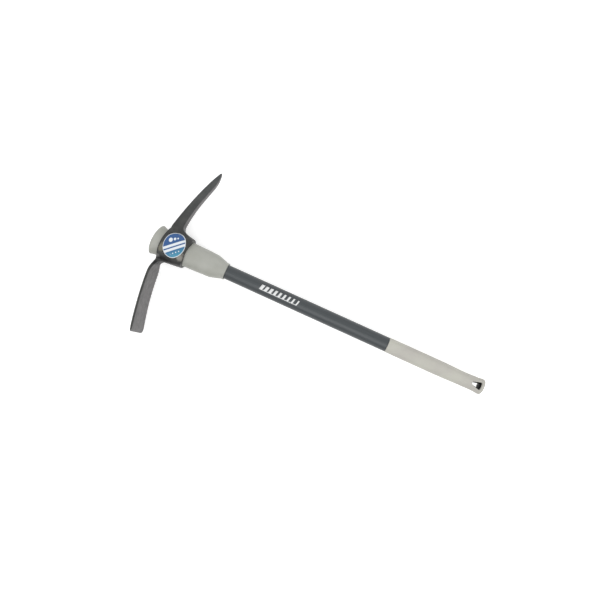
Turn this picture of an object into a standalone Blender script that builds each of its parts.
"""Pick mattock: a forged drop-through head on a moulded fibreglass handle.

The tool lies on its side, in metres. The handle runs along X with its butt towards +X, the pick
points to +Y, the adze blade to -Y, and the labelled cheek faces up. The pieces are modelled about
the eye's centre on the handle's axis and hang on two empties, the handle's and the sliding head's.
"""
import math

import bmesh
import bpy
from mathutils import Matrix, Vector

# Clearance between pieces that touch, and the depth by which a cutter runs past what it cuts
FIT_GAP = 0.0003
OVERCUT = 0.004

# Handle, from the dome's crown to the butt, and the eye's centre measured from the crown
HANDLE_LENGTH = 0.914
CROWN_TO_EYE = 0.0700

# Eye: a tapered oval bore through the head, its walls, and the flats on its two cheeks
EYE_HEIGHT = 0.070
BORE_TOP_WIDTH = 0.0710
BORE_TOP_DEPTH = 0.0490
BORE_BOTTOM_WIDTH = 0.0670
BORE_BOTTOM_DEPTH = 0.0456
END_WALL_TOP = 0.0105
END_WALL_BOTTOM = 0.0062
CHEEK_WALL = 0.0060
CHEEK_CROWN = 0.0025
CHEEK_POWER = 2.3
RIM_ROUND = 0.0015

# An arm starts a step below the eye's top rim, then rises over a share of its reach
ARM_STEP = 0.0006
RISE_SHARE = 0.07

# The bottom rim is lifted towards its two ends, so that the cheeks hang down lower as lugs
LIFT_FROM_AXIS = 0.022
PICK_END_LIFT = 0.0025
BLADE_END_LIFT = 0.0060

# Pick: its reach from the handle's axis, its rise at the root, its fall and its square section
PICK_REACH = 0.2285
PICK_RISE = 0.0023
PICK_DROP = 0.0536
PICK_HEIGHT = 0.0208
PICK_THICKNESS = 0.020
PICK_EDGE_ROUND = 0.0028
ROOT_FILLET_REACH = 0.0165
ROOT_FILLET_DEPTH = 0.030

# Adze blade: its reach, its rise and fall, its section and the width of its cutting edge
BLADE_REACH = 0.236
BLADE_RISE = 0.0022
BLADE_DROP = 0.0341
BLADE_THICKNESS = 0.0055
BLADE_NECK_WIDTH = 0.030
BLADE_EDGE_WIDTH = 0.0895
BLADE_EDGE_ROUND = 0.0010

# Moulding on the head end: the domed flare above the eye and the collar below it
FLARE_WIDTH = 0.0798
FLARE_DEPTH = 0.0525
DOME_HEIGHT = 0.0130
FLARE_ROUND = 0.0030
COLLAR_LENGTH = 0.1051
COLLAR_TAPER_LENGTH = 0.0299
COLLAR_DRAFT = 0.0026
COLLAR_LIP_LENGTH = 0.0055
COLLAR_LIP_WALL = 0.0033
COLLAR_LIP_ROUND = 0.0008
SOCKET_DEPTH = 0.080

# Shaft: the jacket that shows, the tube inside it, and what fills the tube
JACKET_RADIUS = 0.0185
JACKET_WALL = 0.0041
TUBE_WALL = 0.0048
TUBE_TO_CROWN = 0.016
ROD_LENGTH = 0.260

# Cushion grip and the plug that it covers
GRIP_LENGTH = 0.257
GRIP_RADIUS = 0.0193
GRIP_NECK_RADIUS = 0.0179
GRIP_LIP_ROUND = 0.0010
BEAD_RADIUS = 0.0194
BEAD_LENGTH = 0.0155
BUTT_ROUND = 0.0050
GRIP_END_WALL = 0.0040
PLUG_BODY_LENGTH = 0.040
SPIGOT_LENGTH = 0.030

# Hang hole: a wedge with its blunt point towards the head, drafted towards its middle from above and
# from below
HOLE_LENGTH = 0.0243
HOLE_WIDTH = 0.0190
HOLE_TO_BUTT = 0.0080
HOLE_POINT_RADIUS = 0.0044
HOLE_CORNER_RADIUS = 0.0022
HOLE_DRAFT = 0.0018

# Label on the cheek, and the plain slanted bars printed on the shaft
LABEL_MARGIN = 0.0070
LABEL_WIDTH_RATIO = 1.18
LABEL_TO_CROWN = 0.0015
LABEL_TO_PICK = 0.0042
LABEL_THICKNESS = 0.0004
MARK_FROM_COLLAR = 0.096
MARK_LENGTH = 0.108
MARK_HEIGHT = 0.014
MARK_SLANT = 0.004
MARK_LINE = 0.0015
MARK_BAR_WIDTH = 0.0085
MARK_NARROWING_SHARE = 0.6
MARK_BARS = 9
MARK_ROWS = 6
MARK_THICKNESS = 0.0003

# Facets round an oval or a turned piece
OVAL_SIDES = 48
TURNED_SIDES = 48

# Places along the handle that follow from the sizes above
EYE_TOP = -EYE_HEIGHT / 2
EYE_BOTTOM = EYE_HEIGHT / 2
CROWN = -CROWN_TO_EYE
BUTT = HANDLE_LENGTH - CROWN_TO_EYE
COLLAR_END = EYE_BOTTOM + COLLAR_LENGTH
GRIP_START = BUTT - GRIP_LENGTH
SOCKET_START = COLLAR_END - SOCKET_DEPTH
TUBE_START = CROWN + TUBE_TO_CROWN
PLUG_END = BUTT - GRIP_END_WALL - FIT_GAP
PLUG_START = PLUG_END - PLUG_BODY_LENGTH
SPIGOT_START = PLUG_START - SPIGOT_LENGTH
ROD_END = TUBE_START + ROD_LENGTH

# Radii that follow
TUBE_RADIUS = JACKET_RADIUS - JACKET_WALL - FIT_GAP
TUBE_BORE = TUBE_RADIUS - TUBE_WALL
FILL_RADIUS = TUBE_BORE - FIT_GAP

# The origin is on the floor under the middle of the tool's box
FRAME_PLACE = Vector((CROWN_TO_EYE - HANDLE_LENGTH / 2,
                      (BLADE_REACH - PICK_REACH) / 2,
                      BLADE_EDGE_WIDTH / 2))

# Pick from its root to its tip: place, height and thickness as shares, and the edge radius's factor
PICK_STATIONS = [
    (-0.040, 1.46, 1.84, 5.0),
    (-0.008, 1.46, 1.72, 4.4),
    (0.000, 1.44, 1.66, 4.0),
    (0.010, 1.42, 1.60, 3.6),
    (0.022, 1.40, 1.54, 3.0),
    (0.038, 1.37, 1.47, 2.4),
    (0.058, 1.38, 1.39, 1.9),
    (0.085, 1.34, 1.31, 1.6),
    (0.130, 1.28, 1.22, 1.3),
    (0.200, 1.20, 1.15, 1.1),
    (0.300, 1.11, 1.08, 1.0),
    (0.420, 1.03, 1.03, 1.0),
    (0.550, 0.98, 1.00, 1.0),
    (0.680, 0.94, 0.94, 1.0),
    (0.780, 0.89, 0.85, 0.9),
    (0.850, 0.77, 0.74, 0.8),
    (0.900, 0.62, 0.62, 0.7),
    (0.945, 0.43, 0.46, 0.6),
    (0.980, 0.27, 0.31, 0.5),
    (1.000, 0.16, 0.19, 0.4),
]
PICK_BOW_SHARE = 0.58

# Blade from its neck to its cutting edge: place, thickness share, the share of the way from the
# neck's width to the edge's width, and the edge radius's factor
BLADE_STATIONS = [
    (-0.060, 5.20, 0.03, 7.0),
    (-0.025, 4.00, 0.00, 6.0),
    (0.000, 3.05, 0.00, 4.5),
    (0.015, 2.45, 0.02, 3.5),
    (0.037, 1.86, 0.10, 2.4),
    (0.068, 1.50, 0.30, 1.7),
    (0.105, 1.27, 0.53, 1.3),
    (0.147, 1.14, 0.70, 1.1),
    (0.194, 1.07, 0.76, 1.0),
    (0.288, 1.02, 0.79, 1.0),
    (0.419, 1.00, 0.81, 1.0),
    (0.550, 0.99, 0.83, 1.0),
    (0.681, 0.98, 0.86, 1.0),
    (0.812, 0.96, 0.91, 1.0),
    (0.885, 0.93, 0.95, 0.9),
    (0.948, 0.55, 0.99, 0.6),
    (0.969, 0.43, 1.00, 0.5),
    (0.987, 0.32, 0.97, 0.4),
    (0.996, 0.26, 0.90, 0.3),
    (1.000, 0.22, 0.80, 0.3),
]
BLADE_BOW_SHARE = 0.34


def clear_scene():
    for obj in list(bpy.data.objects):
        bpy.data.objects.remove(obj)


def new_collection(name):
    collection = bpy.data.collections.new(name)
    bpy.context.scene.collection.children.link(collection)
    return collection


def new_empty(name, place, parent=None):
    empty = bpy.data.objects.new(name, None)
    empty.location = place
    empty.parent = parent
    parts.objects.link(empty)
    return empty


def new_material(name, colour, roughness, metallic=0.0):
    material = bpy.data.materials.new(name)
    material.use_nodes = True
    shader = material.node_tree.nodes["Principled BSDF"]
    shader.inputs["Base Color"].default_value = (*colour, 1.0)
    shader.inputs["Roughness"].default_value = roughness
    shader.inputs["Metallic"].default_value = metallic
    return material


def new_piece(name, bm, parent, material):
    """A named sub-part from a bmesh, hung on one of the two empties"""
    mesh = bpy.data.meshes.new(name)
    bm.to_mesh(mesh)
    bm.free()
    mesh.materials.append(material)
    mesh.shade_smooth()
    mesh.set_sharp_from_angle(angle=math.radians(30))
    piece = bpy.data.objects.new(name, mesh)
    piece.parent = parent
    parts.objects.link(piece)
    return piece


def new_cutter(name, bm, parent):
    """A body that only cuts, joins or trims a sub-part"""
    mesh = bpy.data.meshes.new(name)
    bm.to_mesh(mesh)
    bm.free()
    cutter = bpy.data.objects.new(name, mesh)
    cutter.parent = parent
    cutter.hide_render = True
    cutter.display_type = "WIRE"
    cutters.objects.link(cutter)
    return cutter


def combine(piece, operation, cutter):
    modifier = piece.modifiers.new(cutter.name, "BOOLEAN")
    modifier.operation = operation
    modifier.solver = "EXACT"
    modifier.object = cutter


def loft(rings):
    """A closed body through rings of points with as many points each, flat at both ends"""
    bm = bmesh.new()
    loops = [[bm.verts.new(point) for point in ring] for ring in rings]
    for near, far in zip(loops, loops[1:]):
        for i in range(len(near)):
            j = (i + 1) % len(near)
            bm.faces.new((near[i], near[j], far[j], far[i]))
    bm.faces.new(loops[0])
    bm.faces.new(loops[-1])
    bmesh.ops.recalc_face_normals(bm, faces=bm.faces)
    return bm


def rounded_rectangle(half_x, half_z, radius, steps=3):
    """Points of a rounded rectangle about its centre, as (x, z)"""
    radius = min(radius, 0.9 * half_x, 0.9 * half_z)
    points = []
    for corner, (side_x, side_z) in enumerate(((1, 1), (-1, 1), (-1, -1), (1, -1))):
        for step in range(steps + 1):
            angle = math.radians(90 * (corner + step / steps))
            points.append((side_x * (half_x - radius) + radius * math.cos(angle),
                           side_z * (half_z - radius) + radius * math.sin(angle)))
    return points


def oval(x, half_width, half_depth, power=2.0, flat=None):
    """Ring of an oval across the handle at x, with its cheeks cut flat at the height flat"""
    points = []
    for i in range(OVAL_SIDES):
        angle = 2 * math.pi * (i + 0.5) / OVAL_SIDES
        y = half_width * math.copysign(abs(math.cos(angle)) ** (2 / power), math.cos(angle))
        z = half_depth * math.copysign(abs(math.sin(angle)) ** (2 / power), math.sin(angle))
        if flat is not None:
            z = max(-flat, min(flat, z))
        points.append((x, y, z))
    return points


def turned(profile):
    """A bmesh turned about Z from a closed profile of (radius, height), then laid along X.

    The profile runs down its outer side, from the greatest height to the least.
    """
    bm = bmesh.new()
    verts = [bm.verts.new((radius, 0, height)) for radius, height in profile]
    edges = [bm.edges.new((verts[i - 1], verts[i])) for i in range(len(verts))]
    bmesh.ops.spin(bm, geom=verts + edges, cent=(0, 0, 0), axis=(0, 0, 1), dvec=(0, 0, 0),
                   angle=2 * math.pi, steps=TURNED_SIDES, use_merge=True, use_duplicate=False)
    bmesh.ops.remove_doubles(bm, verts=bm.verts, dist=1e-6)
    bmesh.ops.recalc_face_normals(bm, faces=bm.faces)
    bmesh.ops.transform(bm, matrix=Matrix.Rotation(math.pi / 2, 4, "Y"), verts=bm.verts)
    return bm


def bore_halves(x):
    """Half width and half depth of the eye's tapered bore at x"""
    share = (x - EYE_TOP) / EYE_HEIGHT
    width = BORE_TOP_WIDTH + (BORE_BOTTOM_WIDTH - BORE_TOP_WIDTH) * share
    depth = BORE_TOP_DEPTH + (BORE_BOTTOM_DEPTH - BORE_TOP_DEPTH) * share
    return width / 2, depth / 2


def eye_half_width(x):
    """Half width over the eye's end walls at x"""
    share = (x - EYE_TOP) / EYE_HEIGHT
    return bore_halves(x)[0] + END_WALL_TOP + (END_WALL_BOTTOM - END_WALL_TOP) * share


CHEEK_FLAT = BORE_TOP_DEPTH / 2 + CHEEK_WALL


def eye_body(offset, inset_rims):
    """The oval body round the eye, grown by offset, with rounded or plain rims"""
    rims = [(0.0, RIM_ROUND), (0.3 * RIM_ROUND, 0.3 * RIM_ROUND), (RIM_ROUND, 0.0)]
    if not inset_rims:
        rims = [(-OVERCUT, 0.0)]
    rings = []
    for along, inset in rims:
        rings.append((EYE_TOP + along, inset))
    for share in (0.25, 0.5, 0.75):
        rings.append((EYE_TOP + share * EYE_HEIGHT, 0.0))
    for along, inset in reversed(rims):
        rings.append((EYE_BOTTOM - along, inset))
    return loft([oval(x, eye_half_width(x) + offset - inset,
                      CHEEK_FLAT + CHEEK_CROWN + offset - inset,
                      CHEEK_POWER, CHEEK_FLAT + offset - inset) for x, inset in rings])


def arm_top(share, rise, drop, bow):
    """Where an arm's top edge runs, at a share of its reach"""
    ramp = min(max(share / RISE_SHARE, 0.0), 1.0)
    share = max(share, 0.0)
    return (EYE_TOP + ARM_STEP - rise * ramp * (2 - ramp)
            + drop * (bow * share + (1 - bow) * share ** 2))


def pick_body():
    start = eye_half_width(0)
    rings = []
    for share, height, thickness, rounding in PICK_STATIONS:
        y = start + share * (PICK_REACH - start)
        top = arm_top(share, PICK_RISE, PICK_DROP, PICK_BOW_SHARE)
        within = min(max((start + ROOT_FILLET_REACH - y) / ROOT_FILLET_REACH, 0.0), 1.0)
        fillet = ROOT_FILLET_DEPTH * (1 - math.sqrt(1 - within ** 2))
        half_x = (height * PICK_HEIGHT + fillet) / 2
        section = rounded_rectangle(half_x, thickness * PICK_THICKNESS / 2,
                                    rounding * PICK_EDGE_ROUND)
        rings.append([(top + half_x + x, y, z) for x, z in section])
    return loft(rings)


def blade_body():
    start = eye_half_width(EYE_TOP)
    rings = []
    for share, thickness, widening, rounding in BLADE_STATIONS:
        y = start + share * (BLADE_REACH - start)
        top = arm_top(share, BLADE_RISE, BLADE_DROP, BLADE_BOW_SHARE)
        half_x = thickness * BLADE_THICKNESS / 2
        width = BLADE_NECK_WIDTH + widening * (BLADE_EDGE_WIDTH - BLADE_NECK_WIDTH)
        section = rounded_rectangle(half_x, width / 2, rounding * BLADE_EDGE_ROUND)
        rings.append([(top + half_x + x, -y, z) for x, z in section])
    return loft(rings)


def bore_body():
    rings = []
    for x in (EYE_TOP - OVERCUT, EYE_TOP, EYE_BOTTOM, EYE_BOTTOM + OVERCUT):
        rings.append(oval(x, *bore_halves(x)))
    return loft(rings)


def end_lift(side, lift):
    """A wedge that trims the eye's bottom rim slantwise on side +1 or -1, by lift at its end"""
    outside = eye_half_width(EYE_BOTTOM)
    slope = lift / (outside - LIFT_FROM_AXIS)
    far = outside + OVERCUT
    corners = [(EYE_BOTTOM + OVERCUT, LIFT_FROM_AXIS - OVERCUT / slope),
               (EYE_BOTTOM - slope * (far - LIFT_FROM_AXIS), far),
               (EYE_BOTTOM + OVERCUT, far)]
    depth = CHEEK_FLAT + CHEEK_CROWN + OVERCUT
    return loft([[(x, side * y, z) for x, y in corners] for z in (-depth, depth)])


def make_head():
    steel = new_material("forged_steel", (0.075, 0.078, 0.080), 0.45, 0.85)
    head = new_piece("mattock_head", eye_body(0, True), head_frame, steel)
    combine(head, "UNION", new_cutter("pick_blank", pick_body(), head_frame))
    combine(head, "UNION", new_cutter("blade_blank", blade_body(), head_frame))
    combine(head, "DIFFERENCE", new_cutter("eye_bore", bore_body(), head_frame))
    combine(head, "DIFFERENCE", new_cutter("pick_end_lift", end_lift(1, PICK_END_LIFT), head_frame))
    combine(head, "DIFFERENCE", new_cutter("blade_end_lift", end_lift(-1, BLADE_END_LIFT), head_frame))


def make_label():
    """A thin oval skin that follows the upper cheek"""
    paper = new_material("label_print", (0.10, 0.25, 0.55), 0.35)
    label = new_piece("head_label", eye_body(FIT_GAP + LABEL_THICKNESS, False), head_frame, paper)
    combine(label, "DIFFERENCE", new_cutter("label_seat", eye_body(FIT_GAP, False), head_frame))
    half_length = EYE_HEIGHT / 2 - LABEL_MARGIN
    bm = bmesh.new()
    bmesh.ops.create_cone(bm, cap_ends=True, segments=OVAL_SIDES, radius1=half_length,
                          radius2=half_length, depth=2 * CHEEK_FLAT)
    bmesh.ops.scale(bm, vec=(1, LABEL_WIDTH_RATIO, 1), verts=bm.verts)
    bmesh.ops.translate(bm, vec=(-LABEL_TO_CROWN, LABEL_TO_PICK, CHEEK_FLAT + OVERCUT), verts=bm.verts)
    combine(label, "INTERSECT", new_cutter("label_outline", bm, head_frame))


def moulding_rings():
    """Ovals down the moulding: the dome, the flare, the waist, the eye's taper and the collar"""
    flare = (FLARE_WIDTH / 2, FLARE_DEPTH / 2)
    rim = CROWN + DOME_HEIGHT
    rings = []
    for degrees in (6, 20, 36, 52, 68, 80):
        angle = math.radians(degrees)
        rings.append((rim - DOME_HEIGHT * math.cos(angle),
                      (flare[0] - FLARE_ROUND) * math.sin(angle) + FLARE_ROUND * math.sin(angle) ** 3,
                      (flare[1] - FLARE_ROUND) * math.sin(angle) + FLARE_ROUND * math.sin(angle) ** 3))
    rings.append((rim, *flare))
    waist = bore_halves(EYE_TOP - FIT_GAP)
    for share in (0.12, 0.3, 0.5, 0.7, 0.85, 1.0):
        ease = (1 - share) ** 1.8
        x = rim + share * (EYE_TOP - FIT_GAP - rim)
        rings.append((x, *(w - FIT_GAP + (f - w + FIT_GAP) * ease for w, f in zip(waist, flare))))
    for share in (0.35, 0.7, 1.0):
        x = EYE_TOP + share * EYE_HEIGHT
        rings.append((x, *(half - FIT_GAP for half in bore_halves(x))))
    neck = rings[-1][1:]
    lip = JACKET_RADIUS + FIT_GAP + COLLAR_LIP_WALL
    shoulder = (neck[0] - COLLAR_DRAFT, neck[1] - COLLAR_DRAFT / 3)
    taper_end = COLLAR_END - COLLAR_LIP_LENGTH
    taper_start = taper_end - COLLAR_TAPER_LENGTH
    for share in (0.5, 1.0):
        x = EYE_BOTTOM + share * (taper_start - EYE_BOTTOM)
        rings.append((x, *(n + (s - n) * share ** 1.2 for n, s in zip(neck, shoulder))))
    for share in (0.25, 0.5, 0.75, 1.0):
        x = taper_start + share * COLLAR_TAPER_LENGTH
        rings.append((x, *(lip + (s - lip) * (1 - share) for s in shoulder)))
    rings.append((COLLAR_END - COLLAR_LIP_ROUND, lip, lip))
    rings.append((COLLAR_END, lip - COLLAR_LIP_ROUND, lip - COLLAR_LIP_ROUND))
    return rings


def make_moulding():
    nylon = new_material("moulded_nylon", (0.40, 0.40, 0.37), 0.50)
    body = loft([oval(*ring) for ring in moulding_rings()])
    moulding = new_piece("head_end_moulding", body, handle_frame, nylon)
    tube_seat = turned([(0, COLLAR_END + OVERCUT), (TUBE_RADIUS + FIT_GAP, COLLAR_END + OVERCUT),
                        (TUBE_RADIUS + FIT_GAP, TUBE_START - FIT_GAP), (0, TUBE_START - FIT_GAP)])
    combine(moulding, "DIFFERENCE", new_cutter("tube_seat", tube_seat, handle_frame))
    radius = JACKET_RADIUS + FIT_GAP
    jacket_seat = turned([(0, COLLAR_END + OVERCUT), (radius, COLLAR_END + OVERCUT),
                          (radius, SOCKET_START - FIT_GAP), (0, SOCKET_START - FIT_GAP)])
    combine(moulding, "DIFFERENCE", new_cutter("jacket_seat", jacket_seat, handle_frame))


def tube_profile(outer, inner, start, end):
    return [(outer, end), (outer, start), (inner, start), (inner, end)]


def bar_profile(radius, start, end):
    return [(0, end), (radius, end), (radius, start), (0, start)]


def make_shaft():
    jacket = new_material("jacket_polymer", (0.075, 0.095, 0.105), 0.35)
    glass = new_material("fibreglass", (0.55, 0.50, 0.30), 0.45)
    foam = new_material("foam", (0.75, 0.70, 0.50), 0.90)
    profile = tube_profile(JACKET_RADIUS, JACKET_RADIUS - JACKET_WALL,
                           SOCKET_START, GRIP_START - FIT_GAP)
    new_piece("shaft_jacket", turned(profile), handle_frame, jacket)
    profile = tube_profile(TUBE_RADIUS, TUBE_BORE, TUBE_START, PLUG_START - FIT_GAP)
    new_piece("fibreglass_tube", turned(profile), handle_frame, glass)
    profile = bar_profile(FILL_RADIUS, TUBE_START, ROD_END)
    new_piece("reinforcing_rod", turned(profile), handle_frame, glass)
    profile = bar_profile(FILL_RADIUS, ROD_END + FIT_GAP, SPIGOT_START - FIT_GAP)
    new_piece("foam_core", turned(profile), handle_frame, foam)


def arc(x, y, radius, start, end, steps=6):
    """Points of an arc about (x, y), between two angles in degrees"""
    points = []
    for step in range(steps + 1):
        angle = math.radians(start + (end - start) * step / steps)
        points.append((x + radius * math.cos(angle), y + radius * math.sin(angle)))
    return points


def hole_outline(inset):
    """Outline of the hang hole, with its broad side at x = 0, drawn in by inset"""
    point_x = HOLE_POINT_RADIUS - HOLE_LENGTH
    corner_x = -HOLE_CORNER_RADIUS
    corner_y = HOLE_WIDTH / 2 - HOLE_CORNER_RADIUS
    apart = math.hypot(corner_x - point_x, corner_y)
    side = math.degrees(math.atan2(corner_y, corner_x - point_x)
                        + math.acos((HOLE_POINT_RADIUS - HOLE_CORNER_RADIUS) / apart))
    corner = HOLE_CORNER_RADIUS - inset
    return (arc(corner_x, corner_y, corner, 0, side)
            + arc(point_x, 0, HOLE_POINT_RADIUS - inset, side, 360 - side)
            + arc(corner_x, -corner_y, corner, 360 - side, 360))


def hang_hole():
    """The wedge that cuts the grip and the plug, narrowest in the handle's middle plane"""
    depth = BEAD_RADIUS + OVERCUT
    place = BUTT - HOLE_TO_BUTT
    return loft([[(place + x, y, z) for x, y in hole_outline(inset)]
                 for z, inset in ((-depth, 0.0), (0.0, HOLE_DRAFT), (depth, 0.0))])


def make_grip():
    rubber = new_material("cushion_rubber", (0.52, 0.51, 0.47), 0.60)
    black = new_material("black_nylon", (0.012, 0.012, 0.013), 0.45)
    bead_end = BUTT - BEAD_LENGTH
    outer = [
        (BEAD_RADIUS - BUTT_ROUND, BUTT),
        (BEAD_RADIUS - 0.5 * BUTT_ROUND, BUTT - 0.134 * BUTT_ROUND),
        (BEAD_RADIUS - 0.134 * BUTT_ROUND, BUTT - 0.5 * BUTT_ROUND),
        (BEAD_RADIUS, BUTT - BUTT_ROUND),
        (0.75 * BEAD_RADIUS + 0.25 * GRIP_NECK_RADIUS, BUTT - 0.66 * BEAD_LENGTH),
        (0.2 * BEAD_RADIUS + 0.8 * GRIP_NECK_RADIUS, BUTT - 0.9 * BEAD_LENGTH),
        (GRIP_NECK_RADIUS, bead_end - 0.15 * BEAD_LENGTH),
        (GRIP_NECK_RADIUS, bead_end - 0.15 * GRIP_LENGTH),
        (0.75 * GRIP_NECK_RADIUS + 0.25 * GRIP_RADIUS, BUTT - 0.28 * GRIP_LENGTH),
        (0.4 * GRIP_NECK_RADIUS + 0.6 * GRIP_RADIUS, BUTT - 0.34 * GRIP_LENGTH),
        (GRIP_RADIUS, BUTT - 0.41 * GRIP_LENGTH),
        (GRIP_RADIUS, BUTT - 0.88 * GRIP_LENGTH),
        (JACKET_RADIUS + 0.5 * GRIP_LIP_ROUND, GRIP_START + GRIP_LIP_ROUND),
        (JACKET_RADIUS - 0.5 * GRIP_LIP_ROUND, GRIP_START),
    ]
    inner_radius = TUBE_RADIUS + FIT_GAP
    inner = [(inner_radius, GRIP_START), (inner_radius, BUTT - GRIP_END_WALL),
             (0, BUTT - GRIP_END_WALL)]
    grip = new_piece("cushion_grip", turned([(0, BUTT)] + outer + inner), handle_frame, rubber)
    plug_profile = [(0, PLUG_END), (TUBE_RADIUS, PLUG_END), (TUBE_RADIUS, PLUG_START),
                    (FILL_RADIUS, PLUG_START), (FILL_RADIUS, SPIGOT_START), (0, SPIGOT_START)]
    plug = new_piece("butt_plug", turned(plug_profile), handle_frame, black)
    hole = new_cutter("hang_hole", hang_hole(), handle_frame)
    combine(grip, "DIFFERENCE", hole)
    combine(plug, "DIFFERENCE", hole)


def make_marking():
    """Plain slanted bars on a thin line, wrapped on the shaft's upper side, each bar narrower
    than the one before"""
    white = new_material("white_ink", (0.85, 0.85, 0.85), 0.50)
    radius = JACKET_RADIUS + FIT_GAP
    start = COLLAR_END + MARK_FROM_COLLAR
    pitch = (MARK_LENGTH - MARK_BAR_WIDTH) / (MARK_BARS - 1)
    columns = 2 * MARK_BARS - 1
    bm = bmesh.new()
    bmesh.ops.create_grid(bm, x_segments=columns, y_segments=MARK_ROWS, size=0.5)
    gaps = []
    for face in bm.faces:
        middle = face.calc_center_median()
        column = math.floor((middle.x + 0.5) * columns)
        row = math.floor((middle.y + 0.5) * MARK_ROWS)
        if column % 2 == 1 and row > 0:
            gaps.append(face)
    bmesh.ops.delete(bm, geom=gaps, context="FACES")
    for vert in bm.verts:
        bar, side = divmod(round((vert.co.x + 0.5) * columns), 2)
        row = round((vert.co.y + 0.5) * MARK_ROWS)
        height = 0 if row == 0 else MARK_LINE + (MARK_HEIGHT - MARK_LINE) * (row - 1) / (MARK_ROWS - 1)
        width = MARK_BAR_WIDTH * (1 - MARK_NARROWING_SHARE * bar / MARK_BARS)
        angle = (height - MARK_HEIGHT / 2) / radius
        x = start + bar * pitch + side * width + height / MARK_HEIGHT * MARK_SLANT
        vert.co = (x, radius * math.sin(angle), radius * math.cos(angle))
    marking = new_piece("shaft_marking", bm, handle_frame, white)
    thickness = marking.modifiers.new("ink_thickness", "SOLIDIFY")
    thickness.thickness = MARK_THICKNESS
    thickness.offset = 1


clear_scene()
parts = new_collection("pick_mattock")
cutters = new_collection("cutters")
handle_frame = new_empty("handle_frame", FRAME_PLACE)
head_frame = new_empty("head_frame", (0, 0, 0), handle_frame)
make_head()
make_label()
make_moulding()
make_shaft()
make_grip()
make_marking()
